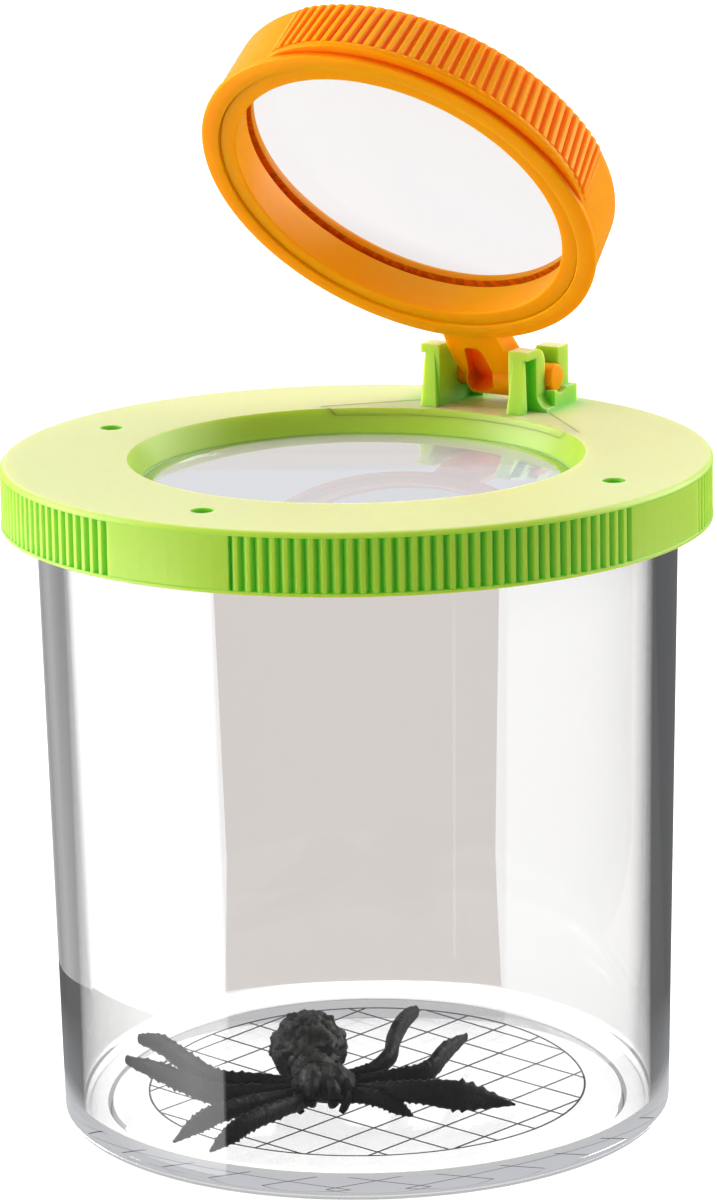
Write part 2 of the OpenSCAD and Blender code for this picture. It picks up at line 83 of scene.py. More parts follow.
def mix_value(nt, fac, a, b):
    """Blend of two numbers; each is a value or an output"""
    node = nt.nodes.new("ShaderNodeMix")
    node.data_type = "FLOAT"
    for slot, value in ((0, fac), (2, a), (3, b)):
        put(nt, node.inputs[slot], value)
    return node.outputs[0]


def mix_colour(nt, fac, a, b):
    """Blend of two colours; each is a value or an output"""
    node = nt.nodes.new("ShaderNodeMix")
    node.data_type = "RGBA"
    for slot, value in ((0, fac), (6, a), (7, b)):
        put(nt, node.inputs[slot], value)
    return node.outputs[2]


def mix_shader(nt, fac, a, b):
    node = nt.nodes.new("ShaderNodeMixShader")
    for slot, output in zip(node.inputs, (fac, a, b)):
        nt.links.new(output, slot)
    return node.outputs[0]


def emission(nt, colour, strength=1.0):
    node = nt.nodes.new("ShaderNodeEmission")
    node.inputs["Color"].default_value = colour
    put(nt, node.inputs["Strength"], strength)
    return node.outputs[0]


def z_of(nt, vector):
    axes = nt.nodes.new("ShaderNodeSeparateXYZ")
    nt.links.new(vector, axes.inputs[0])
    return axes.outputs["Z"]


def seen(nt):
    """1 for rays from the camera, and for reflected and refracted ones"""
    path = nt.nodes.new("ShaderNodeLightPath")
    plain = calc(nt, "MAXIMUM", path.outputs["Is Camera Ray"],
                 path.outputs["Is Glossy Ray"])
    return calc(nt, "MAXIMUM", plain, path.outputs["Is Transmission Ray"])


def by_ray(nt, straight, through, after):
    """A value by the kind of ray: straight from the camera, through clear plastic, or
    after a reflection"""
    path = nt.nodes.new("ShaderNodeLightPath")
    direct = mix_value(nt, path.outputs["Is Transmission Ray"], straight, through)
    mirrored = calc(nt, "MINIMUM", path.outputs["Glossy Depth"], 1.0)
    return mix_value(nt, mirrored, direct, after)


# Meshes

def shade_smooth(mesh, angle):
    """Smooth shading, in which edges sharper than the angle stay sharp"""
    for polygon in mesh.polygons:
        polygon.use_smooth = True
    mesh.set_sharp_from_angle(angle=math.radians(angle))


def mesh_object(name, verts, faces, material, smooth=None):
    mesh = bpy.data.meshes.new(name)
    mesh.from_pydata([tuple(v) for v in verts], [], faces)
    mesh.validate()
    mesh.update()
    mesh.materials.append(material)
    obj = bpy.data.objects.new(name, mesh)
    scene.collection.objects.link(obj)
    if smooth is not None:
        shade_smooth(mesh, smooth)
    return obj


# Camera and lights, in metres

# The photograph's camera, fitted to the grid, the rim and the lid
FOCAL_LENGTH = 167.5
SENSOR_WIDTH = 36.0
CAMERA_AT = (0.275087, -0.465344, 0.182266)
CAMERA_RIGHT = (0.86277238, 0.50530428, -0.01707072)
CAMERA_UP = (-0.10359509, 0.2097273, 0.97225641)
# Its direction from the jar, in degrees from +X
CAMERA_SIDE = -59.4
# What the lamps point at
JAR_MIDDLE = (0, 0, 0.05)


def make_camera():
    data = bpy.data.cameras.new("camera")
    data.lens = FOCAL_LENGTH
    data.sensor_width = SENSOR_WIDTH
    data.sensor_fit = "AUTO"
    data.clip_start = 0.01
    data.clip_end = 20.0
    camera = bpy.data.objects.new("camera", data)
    scene.collection.objects.link(camera)
    right = Vector(CAMERA_RIGHT).normalized()
    up = Vector(CAMERA_UP)
    up = (up - right * up.dot(right)).normalized()
    pose = Matrix((right, up, right.cross(up))).transposed().to_4x4()
    pose.translation = Vector(CAMERA_AT)
    camera.matrix_world = pose
    scene.camera = camera


def area(name, where, size, size_y, power, glossy=True):
    """A soft box; reflections show it where glossy is set"""
    data = bpy.data.lights.new(name, "AREA")
    data.shape = "RECTANGLE"
    data.size = size
    data.size_y = size_y
    data.energy = power
    light = bpy.data.objects.new(name, data)
    scene.collection.objects.link(light)
    light.location = where
    light.rotation_mode = "QUATERNION"
    way = Vector(JAR_MIDDLE) - Vector(where)
    light.rotation_quaternion = way.to_track_quat("-Z", "Y")
    light.visible_glossy = glossy


def make_lights():
    """Large soft boxes on both sides, overhead and in front, as seen from the camera"""
    area("left_box", (-0.85, -0.26, 0.4), 0.7, 0.7, 9.5)
    area("right_box", (0.49, 0.68, 0.4), 0.7, 0.7, 8)
    area("top_box", (-0.05, 0.25, 1.1), 0.9, 0.9, 4.0)
    area("front_box", (-0.42, -0.82, 0.14), 0.5, 0.35, 3.2, glossy=False)


def background(nt, strength):
    node = nt.nodes.new("ShaderNodeBackground")
    node.inputs["Color"].default_value = WHITE
    put(nt, node.inputs["Strength"], strength)
    return node.outputs[0]


def make_world():
    """A studio that looks white and lights the object less strongly than it looks"""
    world = bpy.data.worlds.new("studio")
    scene.world = world
    world.use_nodes = True
    nt = world.node_tree
    nt.nodes.clear()
    out = nt.nodes.new("ShaderNodeOutputWorld")
    lit = background(nt, 0.3)
    shown = background(nt, by_ray(nt, 1.0, 1.0, 0.7))
    nt.links.new(mix_shader(nt, seen(nt), lit, shown), out.inputs["Surface"])


# The stage: floor, and what the clear plastic shows and reflects, in metres

# Half the floor's side, and how far it lies below the jar, so that the two don't meet
FLOOR_REACH = 3.0
FLOOR_DROP = 0.00002
# Where reflections of the lit floor start: the foot of the jar's wall
WALL_RADIUS = 0.031
WALL_FOOT = 0.0003
# How far a screen fades below and above its upper edge, and the angle from column to
# column
SCREEN_FADE = 0.005
SCREEN_STEP = 2


def bare_material(name):
    """A material with nothing but its output"""
    mat = bpy.data.materials.new(name)
    mat.use_nodes = True
    nt = mat.node_tree
    nt.nodes.clear()
    return mat, nt, nt.nodes.new("ShaderNodeOutputMaterial")


def show_only_to(obj, ray):
    """Leaves a piece of the stage in view of one kind of ray alone"""
    for kind in ("camera", "diffuse", "glossy", "transmission", "shadow"):
        if kind != ray:
            setattr(obj, "visible_" + kind, False)


def make_floor():
    """Pale floor; clear plastic shows it a little darker, reflections much darker"""
    mat, nt, out = bare_material("floor_white")
    grey = nt.nodes.new("ShaderNodeCombineColor")
    shade = by_ray(nt, 0.72, 0.5, 0.06)
    for channel in range(3):
        nt.links.new(shade, grey.inputs[channel])
    paint = nt.nodes.new("ShaderNodeBsdfDiffuse")
    nt.links.new(grey.outputs[0], paint.inputs["Color"])

    geo = nt.nodes.new("ShaderNodeNewGeometry")
    length = nt.nodes.new("ShaderNodeVectorMath")
    length.operation = "LENGTH"
    nt.links.new(geo.outputs["Position"], length.inputs[0])
    distance = length.outputs["Value"]
    # Under the jar, painted light makes what clear plastic and reflections show of the
    # floor lighter, filling its shade
    near = map_range(nt, distance, 0.0325, 0.036, 0.8, 0.0)
    # Far off, where the lamps no longer reach, it meets the bright background
    far = map_range(nt, distance, 0.3, 1.0, 0.0, 1.0)
    light = by_ray(nt, 0.5, 0.48, 0.07)
    for share, shown in ((near, by_ray(nt, 0.0, 1.0, 0.6)),
                         (far, by_ray(nt, 0.4, 0.4, 0.55))):
        light = calc(nt, "MULTIPLY_ADD", share, shown, light)
    light = calc(nt, "MULTIPLY", seen(nt), light)

    add = nt.nodes.new("ShaderNodeAddShader")
    nt.links.new(paint.outputs[0], add.inputs[0])
    nt.links.new(emission(nt, WHITE, light), add.inputs[1])
    nt.links.new(add.outputs[0], out.inputs["Surface"])
    s = FLOOR_REACH
    floor = mesh_object("floor", [(-s, -s, 0), (s, -s, 0), (s, s, 0), (-s, s, 0)],
                        [(0, 1, 2, 3)], mat)
    floor.location.z = -FLOOR_DROP


def card(edges, colour):
    """Card behind the jar that only clear plastic shows; each edge is its left and its
    right point"""
    mat, nt, out = bare_material("card_grey")
    nt.links.new(emission(nt, colour), out.inputs["Surface"])
    mat.cycles.emission_sampling = "NONE"
    verts = [point for edge in edges for point in edge]
    faces = [(i, i + 1, i + 3, i + 2) for i in range(0, len(verts) - 2, 2)]
    obj = mesh_object("card", verts, faces, mat)
    show_only_to(obj, "transmission")


def glow_sheet(name, columns):
    """A sheet of light that only reflections show; each column is a list of points with
    their brightness"""
    mat, nt, out = bare_material(name)
    level = nt.nodes.new("ShaderNodeAttribute")
    level.attribute_name = "level"
    nt.links.new(emission(nt, WHITE, level.outputs["Fac"]), out.inputs["Surface"])
    n = len(columns[0])
    verts = [point for column in columns for point, value in column]
    levels = [value for column in columns for point, value in column]
    faces = []
    for i in range(len(columns) - 1):
        for k in range(n - 1):
            a, b = i * n + k, (i + 1) * n + k
            faces.append((a, b, b + 1, a + 1))
    obj = mesh_object(name, verts, faces, mat)
    obj.data.attributes.new("level", "FLOAT", "POINT").data.foreach_set("value", levels)
    show_only_to(obj, "glossy")


def filled(stops):
    """Stops, each an angle and what belongs to it, with more put in evenly between"""
    out = []
    for a, b in zip(stops, stops[1:]):
        count = max(1, round(abs(b[0] - a[0]) / SCREEN_STEP))
        for i in range(count):
            out.append(tuple(p + (q - p) * i / count for p, q in zip(a, b)))
    return out + [stops[-1]]


def polar(radius, angle, z=0.0):
    """Point by its angle from the camera's side towards the right of the picture"""
    a = math.radians(CAMERA_SIDE + angle)
    return Vector((radius * math.cos(a), radius * math.sin(a), z))


def screen(name, stops, low, high):
    """A curved upright sheet round the jar, whose upper edge fades out; each stop is an
    angle, a brightness and a radius"""
    rows = [(low, 1.0), (high - SCREEN_FADE, 1.0), (high, 0.5),
            (high + SCREEN_FADE, 0.0)]
    glow_sheet(name, [[(polar(radius, angle, z), value * share) for z, share in rows]
                      for angle, value, radius in filled(stops)])


def lit_floor(name, near, far, stops):
    """Floor between the jar and the left screen, which puts a veil over the jar's lower
    left; each stop is an angle on the jar's wall and a brightness"""
    columns = []
    for angle, value in filled(stops):
        # What comes from the camera leaves the wall at twice the angle
        start = polar(WALL_RADIUS, -angle, WALL_FOOT)
        way = polar(1.0, -2 * angle)
        along = start.xy.dot(way.xy)
        column = []
        for radius in (near, far):
            square = along ** 2 + radius ** 2 - start.xy.length_squared
            column.append((start + way * (math.sqrt(square) - along), value))
        columns.append(column)
    glow_sheet(name, columns)


def make_reflections():
    """The bands and the veil that the photograph's studio leaves in the beaker"""
    # Two edges lie on the floor, and the rest stand upright over the second
    card([((-0.0309, 0.0206, 0.0004), (-0.0036, 0.0368, 0.0004)),
          ((-0.0534, 0.0555, 0.0004), (-0.0234, 0.0733, 0.0004)),
          ((-0.0543, 0.0550, 0.0300), (-0.0226, 0.0738, 0.0300)),
          ((-0.0553, 0.0545, 0.0600), (-0.0217, 0.0743, 0.0600)),
          ((-0.0555, 0.0543, 0.0690), (-0.0215, 0.0744, 0.0688))],
         (0.857, 0.805, 0.78, 1))
    screen("left_screen",
           [(-152, 0, 0.063), (-144, 0.6, 0.063), (-131, 0.6, 0.0635),
            (-120, 1.3, 0.065), (-102.6, 1.3, 0.0675), (-98.7, 4.2, 0.068),
            (-41.9, 4.2, 0.069), (-40.5, 0, 0.069)], 0.0, 0.055)
    lit_floor("left_floor", 0.0335, 0.0685,
              [(27.0, 0), (27.8, 3.8), (35, 3.8), (42, 2.5), (52, 0.8), (62, 0.3)])
    screen("right_screen",
           [(36.0, 0, 0.05), (37.2, 1.8, 0.05), (84, 1.8, 0.05), (92, 0, 0.05)],
           0.0, 0.056)
    screen("strip",
           [(22.2, 0, 0.05), (22.3, 1.2, 0.05), (23.0, 1.2, 0.05), (23.1, 0, 0.05)],
           0.017, 0.056)


# Materials

# How far off a wall still paints shade, as a deeper colour, into a hollow of a moulded
# part
PAINTED_SHADE_REACH = 0.004
# Colour and gloss vary slowly with the flow of the plastic, and finely with its grain
FLOW_SCALE = 55
GRAIN_SCALE = 2200


def principled(name, colour, rough, ior=1.5, **more):
    mat = bpy.data.materials.new(name)
    mat.use_nodes = True
    nt = mat.node_tree
    bsdf = nt.nodes["Principled BSDF"]
    bsdf.inputs["Base Color"].default_value = colour
    bsdf.inputs["Roughness"].default_value = rough
    bsdf.inputs["IOR"].default_value = ior
    for key, value in more.items():
        bsdf.inputs[key.replace("_", " ")].default_value = value
    return mat, nt, bsdf


def coords(nt, scale=(1, 1, 1)):
    place = nt.nodes.new("ShaderNodeTexCoord")
    mapping = nt.nodes.new("ShaderNodeMapping")
    mapping.inputs["Scale"].default_value = scale
    nt.links.new(place.outputs["Object"], mapping.inputs["Vector"])
    return mapping.outputs["Vector"]


def noise_node(nt, vec, scale, detail):
    node = nt.nodes.new("ShaderNodeTexNoise")
    node.inputs["Scale"].default_value = scale
    node.inputs["Detail"].default_value = detail
    node.inputs["Roughness"].default_value = 0.55
    nt.links.new(vec, node.inputs["Vector"])
    return node.outputs["Fac"]


def ramp(nt, fac, *stops):
    """Colour by a factor, from two stops of a position and a colour"""
    node = nt.nodes.new("ShaderNodeValToRGB")
    for element, (position, colour) in zip(node.color_ramp.elements, stops):
        element.position = position
        element.color = colour
    nt.links.new(fac, node.inputs["Fac"])
    return node.outputs["Color"]


def bump(nt, bsdf, height, strength, distance, edge=0.0):
    node = nt.nodes.new("ShaderNodeBump")
    if edge:
        # Softens the light on hard edges, as a mould's small radius does
        soft_edge = nt.nodes.new("ShaderNodeBevel")
        soft_edge.samples = 4
        soft_edge.inputs["Radius"].default_value = edge
        nt.links.new(soft_edge.outputs["Normal"], node.inputs["Normal"])
    node.inputs["Strength"].default_value = strength
    node.inputs["Distance"].default_value = distance
    nt.links.new(height, node.inputs["Height"])
    nt.links.new(node.outputs["Normal"], bsdf.inputs["Normal"])


def moulded(name, mid, hollow_shade, top, rough, shine, glow, edge=0.0):
    """Moulded plastic: painted shade deepens the colour in its hollows and a painted
    sheen makes faces that look up paler, slow flow variation, fine grain in gloss and
    relief"""
    mat, nt, bsdf = principled(name, mid, rough, Specular_IOR_Level=shine,
                               Subsurface_Weight=0.7, Subsurface_Radius=glow,
                               Subsurface_Scale=0.0025)
    vec = coords(nt)
    shade = tuple(c * 0.94 for c in mid[:3]) + (1,)
    colour = ramp(nt, noise_node(nt, vec, FLOW_SCALE, 2.0), (0.35, shade), (0.65, mid))
    # Painted sheen: faces that look up turn to the paler top colour, as the overhead
    # light's reflection would make them
    geo = nt.nodes.new("ShaderNodeNewGeometry")
    upward = map_range(nt, z_of(nt, geo.outputs["Normal"]), 0.75, 0.98, 0.0, 1.0)
    colour = mix_colour(nt, upward, colour, top)
    # Painted shade: hollows of the part take the deeper colour
    hollow = nt.nodes.new("ShaderNodeAmbientOcclusion")
    hollow.samples = 6
    hollow.only_local = True
    hollow.inputs["Distance"].default_value = PAINTED_SHADE_REACH
    unshaded_share = map_range(nt, hollow.outputs["AO"], 0.4, 1.0, 0.0, 1.0)
    nt.links.new(mix_colour(nt, unshaded_share, hollow_shade, colour), bsdf.inputs["Base Color"])
    grain = noise_node(nt, vec, GRAIN_SCALE, 2.0)
    nt.links.new(map_range(nt, grain, 0.3, 0.7, rough - 0.04, rough + 0.05),
                 bsdf.inputs["Roughness"])
    bump(nt, bsdf, grain, 0.05, 0.00002, edge)
    return mat


def clear(name, tint, ior, painted_glow, ripple=0.0):
    """Clear plastic that lets the studio light through to what is inside it; its inner
    reflections are a painted glow, whose strength is given at the jar's foot and above"""
    mat, nt, bsdf = principled(name, tint, 0.0, ior, Transmission_Weight=1.0)
    path = nt.nodes.new("ShaderNodeLightPath")
    # Where light has gone to and fro inside the walls, a painted glow shows soft grey,
    # not black
    geo = nt.nodes.new("ShaderNodeNewGeometry")
    strength = map_range(nt, z_of(nt, geo.outputs["Position"]), 0.004, 0.012, *painted_glow)
    glow = emission(nt, (0.93, 0.95, 1.0, 1), strength)
    mat.cycles.emission_sampling = "NONE"
    often = calc(nt, "GREATER_THAN", path.outputs["Glossy Depth"], 1.5)
    inner = mix_shader(nt, often, bsdf.outputs[0], glow)
    # Shadows and light on what is inside go straight through
    thin = nt.nodes.new("ShaderNodeBsdfTransparent")
    thin.inputs["Color"].default_value = (0.93, 0.94, 0.95, 1)
    lighting = calc(nt, "MAXIMUM", path.outputs["Is Shadow Ray"],
                    path.outputs["Is Diffuse Ray"])
    nt.links.new(mix_shader(nt, lighting, inner, thin.outputs[0]),
                 nt.nodes["Material Output"].inputs["Surface"])
    if ripple:
        # Long upright waves
        waves = noise_node(nt, coords(nt, (1, 1, 0.12)), 90, 1.0)
        bump(nt, bsdf, waves, ripple, 0.0002)
    return mat


def ink():
    """Printed ink, a little uneven"""
    mat, nt, bsdf = principled("grid_black", srgb(40, 40, 44), 0.45)
    fine = noise_node(nt, coords(nt), 1800, 3.0)
    nt.links.new(ramp(nt, fine, (0.3, srgb(22, 22, 26)), (0.75, srgb(56, 56, 62))),
                 bsdf.inputs["Base Color"])
    return mat


def rubber():
    """Black rubber with patches of grey dust on its upper faces; painted shade turns
    its lower faces and its creases near black
    """
    mat, nt, bsdf = principled("spider_black", srgb(24, 24, 26), 0.5,
                               Specular_IOR_Level=0.15)
    vec = coords(nt)
    mid = noise_node(nt, vec, 420, 4.0)
    fine = noise_node(nt, vec, 2600, 3.0)
    dust = ramp(nt, mid, (0.38, srgb(10, 10, 11)), (0.7, srgb(80, 78, 75)))
    geo = nt.nodes.new("ShaderNodeNewGeometry")
    # Painted shade: faces that look down turn near black, faces that look up show the
    # dust
    upward = map_range(nt, z_of(nt, geo.outputs["Normal"]), -0.2, 0.7, 0.15, 1.0)
    colour = mix_colour(nt, upward, srgb(6, 6, 7), dust)
    # Painted shade: creases turn near black
    crease_shade_fac = map_range(nt, geo.outputs["Pointiness"], 0.46, 0.54, 0.0, 1.0)
    colour = mix_colour(nt, crease_shade_fac, srgb(5, 5, 6), colour)
    nt.links.new(colour, bsdf.inputs["Base Color"])
    nt.links.new(map_range(nt, fine, 0.3, 0.7, 0.36, 0.6), bsdf.inputs["Roughness"])
    bump(nt, bsdf, fine, 0.7, 0.0002)
    return mat


def make_materials():
    return {
        # Each plastic's second colour is painted shade for its hollows, its third a
        # painted sheen for faces that look up
        "green": moulded("lid_green", srgb(174, 211, 51), hollow_shade=srgb(98, 204, 56),
                         top=srgb(221, 227, 160), rough=0.4, shine=0.5,
                         glow=(1.0, 0.9, 0.25), edge=0.00018),
        "orange": moulded("ring_orange", srgb(248, 152, 0), hollow_shade=srgb(244, 104, 14),
                          top=srgb(248, 168, 10), rough=0.34, shine=0.06,
                          glow=(1.0, 0.45, 0.08)),
        # The clear plastics paint a glow into their inner reflections, given at the
        # jar's foot and above
        "beaker": clear("beaker_clear", (0.945, 0.94, 0.938, 1), ior=1.52,
                        painted_glow=(0.6, 0.1), ripple=0.02),
        "lens": clear("lens_clear", (0.985, 0.99, 0.99, 1), ior=1.49, painted_glow=(0.8, 0.8)),
        # Low index, because the photograph shows hardly any bending in this lens
        "flip": clear("flip_lens_clear", (0.77, 0.745, 0.75, 1), ior=1.12,
                      painted_glow=(0.8, 0.8)),
        "ink": ink(),
        "spider": rubber(),
    }


# Mesh helpers, in millimetres

def rounded(points, steps):
    """Polygon points (x, y, radius) with each corner turned into an arc"""
    out = []
    for i, (x, y, radius) in enumerate(points):
        if radius <= 0:
            out.append((x, y))
            continue
        corner = Vector((x, y))
        a = Vector(points[i - 1][:2]) - corner
        b = Vector(points[(i + 1) % len(points)][:2]) - corner
        room_a, room_b = a.length, b.length
        a.normalize()
        b.normalize()
        half = math.acos(max(-1, min(1, a.dot(b)))) / 2
        # The arc takes up no more than about half of either side
        t = min(radius / math.tan(half), room_a * 0.49, room_b * 0.49)
        r = t * math.tan(half)
        centre = corner + (a + b).normalized() * (r / math.sin(half))
        start = corner + a * t
        end = corner + b * t
        a0 = math.atan2(start.y - centre.y, start.x - centre.x)
        a1 = math.atan2(end.y - centre.y, end.x - centre.x)
        turn = (a1 - a0 + math.pi) % (2 * math.pi) - math.pi
        for k in range(steps + 1):
            angle = a0 + turn * k / steps
            out.append((centre.x + r * math.cos(angle), centre.y + r * math.sin(angle)))
    return out


def row_faces(a, b):
    """Faces between two closed rows of points; a row may be a single point"""
    count = max(len(a), len(b))
    faces = []
    for k in range(count):
        l = (k + 1) % count
        if len(a) == 1:
            faces.append((a[0], b[l], b[k]))
        elif len(b) == 1:
            faces.append((a[k], a[l], b[0]))
        else:
            faces.append((a[k], a[l], b[l], b[k]))
    return faces


def skin(rows, closed):
    """Faces through all rows, and from the last one back to the first if closed"""
    following = rows[1:] + rows[:1] if closed else rows[1:]
    return [face for a, b in zip(rows, following) for face in row_faces(a, b)]


def revolve(profile, count, closed=True):
    """Solid of revolution; points on the axis become single vertices"""
    verts, rows = [], []
    for r, z in profile:
        size = count if r else 1
        rows.append(range(len(verts), len(verts) + size))
        for k in range(size):
            a = 2 * math.pi * k / count
            verts.append((r * math.cos(a), r * math.sin(a), z))
    return verts, skin(rows, closed)


def dome(r, rise, base, up=1):
    """Points from the foot of a dome to its crown"""
    steps = 28
    ball = (r * r + rise * rise) / (2 * rise)
    foot = math.asin((ball - rise) / ball)
    points = []
    for i in range(steps + 1):
        a = foot + (math.pi / 2 - foot) * i / steps
        points.append((ball * math.cos(a) if i < steps else 0.0,
                       base + up * (rise - ball + ball * math.sin(a))))
    return points


def prism(points, z0, z1):
    """Solid between two heights with the same outline"""
    n = len(points)
    verts = [(x, y, z) for z in (z0, z1) for x, y in points]
    faces = [tuple(range(n - 1, -1, -1)), tuple(range(n, 2 * n))]
    for k in range(n):
        l = (k + 1) % n
        faces.append((k, l, n + l, n + k))
    return verts, faces


def joined(parts):
    """One mesh out of several"""
    verts, faces = [], []
    for part_verts, part_faces in parts:
        base = len(verts)
        verts += part_verts
        faces += [tuple(i + base for i in face) for face in part_faces]
    return verts, faces


def combine(obj, other, operation):
    """Joins or cuts with a second mesh, which is then removed"""
    mod = obj.modifiers.new("join", "BOOLEAN")
    mod.object = other
    mod.operation = operation
    mod.solver = "EXACT"
    graph = bpy.context.evaluated_depsgraph_get()
    mesh = bpy.data.meshes.new_from_object(obj.evaluated_get(graph))
    obj.modifiers.clear()
    obj.data = mesh
    bpy.data.objects.remove(other)


def piece(name, verts, faces, body, material, smooth=35, move=None, replaces=()):
    """A piece of the object out of a mesh in millimetres, moved in metres"""
    points = [Vector(v) * MM for v in verts]
    if move is not None:
        points = [move @ p for p in points]
    obj = mesh_object(name, points, faces, material, smooth)
    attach(obj, body)
    if replaces:
        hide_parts(*replaces)


# The object's measures, in millimetres, as in the CAD

JAR_FLOOR = 2.2
# How far the grid is turned, in degrees
GRID_TURN = -12
LID_TOP = 67.5
# Underside of the flip ring while it lies flat over the recess
RING_Z = LID_TOP + 0.68
# The hinge's axis
PIN_Y = 29.2
PIN = Vector((0, PIN_Y, LID_TOP + 2.96))
# The flip lens is modelled flat, and turned up to where the photograph shows it
OPEN_ANGLE = 50
OPEN_TURN = (Matrix.Translation(PIN * MM)
             @ Matrix.Rotation(math.radians(-OPEN_ANGLE), 4, "X")
             @ Matrix.Translation(-PIN * MM))
# Middle of the thumb grip and its half width, in degrees round the flip ring
GRIP_AT = 304
GRIP_HALF = 55


def make_beaker(m):
    # From the middle of the underside round the foot ring and the rim to the floor
    under, rim = 0.5, 65.2
    outline = rounded([(0, under, 0), (26.0, under, 0.15), (26.5, 0, 0.15),
                       (30.6, 0, 1.5), (31.9, rim, 0.25), (30.3, rim, 0.25),
                       (29.0, JAR_FLOOR, 1.2), (0, JAR_FLOOR, 0)], 8)
    verts, faces = revolve(outline, 256, closed=False)
    piece("beaker_body", verts, faces, "jar", m["beaker"],
          smooth=40, replaces=("beaker",))


def lens(edge_r, edge, top_r, low_r, rise, z):
    """Lens with a flat edge from z up, and a dome on each side of it"""
    rim = rounded([(low_r, z, 0), (edge_r, z, 0.12), (edge_r, z + edge, 0.12),
                   (top_r, z + edge, 0)], 3)
    profile = dome(low_r, rise, z, up=-1)[:0:-1] + rim + dome(top_r, rise, z + edge)[1:]
    return revolve(profile, 192, closed=False)


def make_lenses(m):
    recess, edge = 2.35, 1.3
    verts, faces = lens(edge_r=21.4, edge=edge, top_r=20.7, low_r=19.9, rise=2.0,
                        z=LID_TOP - recess - edge)
    piece("lid_lens_body", verts, faces, "cover", m["lens"],
          smooth=40, replaces=("lid_lens",))
    verts, faces = lens(edge_r=19.05, edge=1.2, top_r=17.6, low_r=17.8, rise=1.9,
                        z=RING_Z + 4.3)
    piece("magnifier_lens_body", verts, faces, "magnifier", m["flip"],
          smooth=40, move=OPEN_TURN, replaces=("magnifier_lens",))


def ring_angles():
    """Angles round the ring with the share of the thumb grip's rib at each"""
    ribs, per_rib, plain = 36, 12, 250
    # Shares of a rib's pitch: where it starts, its rise, its crest's end and its fall
    shift, rise, crest, fall = 0.05, 0.35, 0.7, 0.3
    start, sweep = GRIP_AT - GRIP_HALF, 2 * GRIP_HALF
    out = []
    for k in range(ribs):
        for i in range(per_rib):
            u = i / per_rib
            s = (u - shift) % 1.0
            f = min(1.0, s / rise, 1 - (s - crest) / fall)
            out.append((start + sweep * (k + u) / ribs, f * f * (3 - 2 * f)))
    for i in range(plain):
        out.append((start + sweep + i * (360 - sweep) / plain, 0.0))
    return out


def make_ring(m):
    angles = ring_angles()
    # Radii of the ring's side below and above, the grip's plain band below its ribs,
    # the ribs' top, and how far the grip stands out and how deep its ribs are
    foot, top = 20.8, 20.5
    band, rib_top = 1.35, 6.8
    full, depth = 1.35, 0.4
    valley = full - depth
    # Each level: height, plain radius, reach and rib depth of the thumb grip
    levels = [(0.0, foot, 0, 0), (0.06, 20.94, 0, 0), (0.22, 21.05, 0, 0),
              (0.6, 21.05, 0, 0), (0.72, 20.98, 0, 0),
              (0.76, 20.84, full * 0.9, 0), (0.82, foot, full * 0.985, 0),
              (0.9, foot, full, 0), (band - 0.05, foot, full, 0),
              (band, foot, full * 0.985, 0), (band + 0.05, foot, valley, depth * 0.93)]
    for i in range(9):
        t = i / 8
        levels.append((band + 0.1 + (rib_top - band - 0.1) * t, foot + (top - foot) * t,
                       valley * (1 - t * 0.995), depth))
    # The upper edge is a quarter of a circle, in which the ribs fade out
    edge_z, edge = 7.2, 0.5
    for i in range(1, 7):
        a = math.radians(90 * i / 6)
        levels.append((edge_z + edge * math.sin(a),
                       top - 0.02 - edge * (1 - math.cos(a)),
                       0, depth * max(0.0, 1 - i / 3)))
    # Down the inside: the lip, the lens's seat and the bore
    levels += [(z, r, 0, 0) for z, r in (
        (7.7, 19.0), (7.66, 18.84), (7.5, 18.66), (6.8, 17.96), (6.62, 17.8),
        (6.45, 17.7), (5.55, 17.7), (5.5, 17.75), (5.5, 19.15), (0.15, 19.15),
        (0.04, 19.2), (0.0, 19.32))]
    verts, rows = [], []
    for z, plain, reach, rib in levels:
        rows.append(range(len(verts), len(verts) + len(angles)))
        for angle, share in angles:
            off = abs((angle - GRIP_AT + 180) % 360 - 180) / GRIP_HALF
            grip = 0.0 if off >= 1 else 1 - off ** 4
            r = plain + reach * grip + rib * share * min(1, 3 * grip)
            a = math.radians(angle)
            verts.append((r * math.cos(a), r * math.sin(a), RING_Z + z))
    piece("magnifier_ring_body", verts, skin(rows, closed=True), "magnifier",
          m["orange"], smooth=32, move=OPEN_TURN,
          replaces=("magnifier_frame",))

    outline = rounded([(19.12, 0.3, 0.12), (19.12, 4.3, 0), (17.9, 4.3, 0.1),
                       (17.4, 0.3, 0.18)], 4)
    verts, faces = revolve([(r, z + RING_Z) for r, z in outline], 192)
    piece("magnifier_retainer", verts, [face[::-1] for face in faces], "magnifier",
          m["orange"], move=OPEN_TURN, replaces=("retaining_ring",))


def rod(radius, start, end, corner, steps):
    """Round bar along the hinge's axis with rounded ends"""
    outline = rounded([(0, start, 0), (radius, start, corner), (radius, end, corner),
                       (0, end, 0)], steps)
    verts, faces = revolve(outline, 64, closed=False)
    return [(z + PIN.x, x + PIN.y, y + PIN.z) for x, y, z in verts], faces


